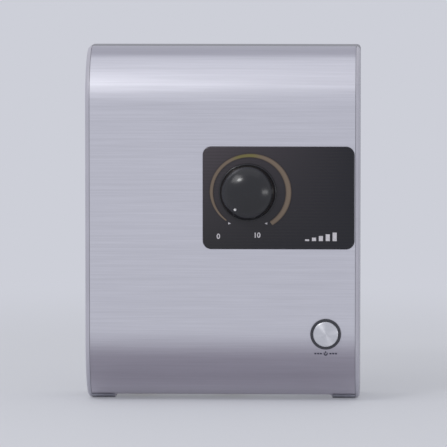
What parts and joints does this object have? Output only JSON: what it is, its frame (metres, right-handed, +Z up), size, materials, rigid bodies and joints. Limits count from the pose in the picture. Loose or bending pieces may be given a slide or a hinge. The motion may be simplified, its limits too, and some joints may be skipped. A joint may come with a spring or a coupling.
{
  "type": "tankless water heater",
  "caption": "Compact wall-hung electric tankless water heater with a rolled brushed front, a domed power knob on a black panel and a test button.",
  "frame": {"origin": "centre of the rear face, on the wall", "axes": "+Z up, -Y out of the front, +X to the right as seen from the front"},
  "size_m": [0.2, 0.098, 0.259],
  "materials": {
    "base_plastic": "fine textured mid grey",
    "black_plastic": "fine textured black",
    "cover_plastic": "satin light grey",
    "front_metal": "brushed across",
    "black_gloss": "high gloss",
    "amber_print": "printed",
    "white_print": "satin paint",
    "chrome": "polished",
    "steel": "plain",
    "brass": "machined",
    "copper": "drawn copper",
    "aluminium": "extruded",
    "rubber": "matte",
    "white_plastic": "moulded",
    "circuit_board": "lacquered",
    "red_sheath": "satin",
    "blue_sheath": "satin",
    "green_sheath": "satin"
  },
  "bodies": {
    "case": {"rear_base": "base_plastic", "case_seal": "rubber", "cover_shell": "cover_plastic", "front_skin": "front_metal", "cover_screw_1": "steel", "cover_screw_2": "steel", "control_panel": "black_gloss", "scale_ring": "amber_print", "potentiometer": "steel", "control_board": "circuit_board", "board_screw_1": "steel", "board_screw_2": "steel", "button_spring": "steel", "button_bezel": "black_gloss", "button_nut": "black_plastic", "breaker_body": "white_plastic", "terminal_block": "white_plastic", "terminal_screw_1": "steel", "terminal_screw_2": "steel", "terminal_screw_3": "steel", "cable_grommet": "rubber", "cable_clamp": "white_plastic", "heat_sink": "aluminium", "triac": "rubber", "triac_screw": "steel", "tank_body": "steel", "tank_lid": "steel", "heating_element": "copper", "tank_strap_upper": "steel", "tank_strap_lower": "steel", "strap_screw_upper": "steel", "strap_screw_lower": "steel", "thermal_cutout": "black_plastic", "outlet_tail": "brass", "outlet_nut": "brass", "inlet_tail": "brass", "inlet_nut": "brass", "inlet_filter": "steel", "outlet_pipe": "copper", "inlet_block": "brass", "flow_housing": "white_plastic", "flow_spring": "steel", "reed_switch": "black_plastic", "inlet_hose": "rubber", "wire_live_in": "red_sheath", "wire_neutral_in": "blue_sheath", "wire_live_out": "red_sheath", "wire_neutral_out": "blue_sheath", "wire_earth": "green_sheath"},
    "knob": {"control_knob": "black_gloss", "knob_marker": "white_print", "control_shaft": "steel"},
    "button": {"test_button": "chrome", "button_clip": "steel"},
    "test_key": {"breaker_test_key": "rubber"},
    "lever": {"breaker_lever": "black_plastic"},
    "piston": {"flow_piston": "rubber"},
    "reset_pin": {"cutout_reset_pin": "brass"},
    "regulator": {"regulator_spindle": "black_plastic"}
  },
  "joints": [
    {"name": "knob_turn", "type": "hinge", "parent": "case", "child": "knob", "pos_m": [0.0186, -0.0816, 0.0249], "axis": [0, 1, 0], "range_deg": [0, 286]},
    {"name": "button_press", "type": "slide", "parent": "case", "child": "button", "axis": [0, 1, 0], "range_m": [0, 0.0025], "stiffness_N_per_m": 300, "springref_m": -0.003, "deforming": ["button_spring"]},
    {"name": "key_press", "type": "slide", "parent": "case", "child": "test_key", "axis": [0, 1, 0], "range_m": [0, 0.0025]},
    {"name": "lever_flip", "type": "hinge", "parent": "case", "child": "lever", "pos_m": [0.065, -0.0448, -0.062], "axis": [1, 0, 0], "range_deg": [0, 36]},
    {"name": "piston_lift", "type": "slide", "parent": "case", "child": "piston", "axis": [0, 0, 1], "range_m": [0, 0.008], "stiffness_N_per_m": 60, "springref_m": -0.004, "deforming": ["flow_spring"]},
    {"name": "reset_pop", "type": "slide", "parent": "case", "child": "reset_pin", "axis": [1, 0, 0], "range_m": [0, 0.0015]},
    {"name": "regulator_turn", "type": "hinge", "parent": "case", "child": "regulator", "pos_m": [-0.0175, -0.018, -0.119], "axis": [0, 0, 1], "range_deg": [0, 90]}
  ],
  "couplings": [
    {"joint": "key_press", "follows": "button_press", "ratio": 1}
  ]
}
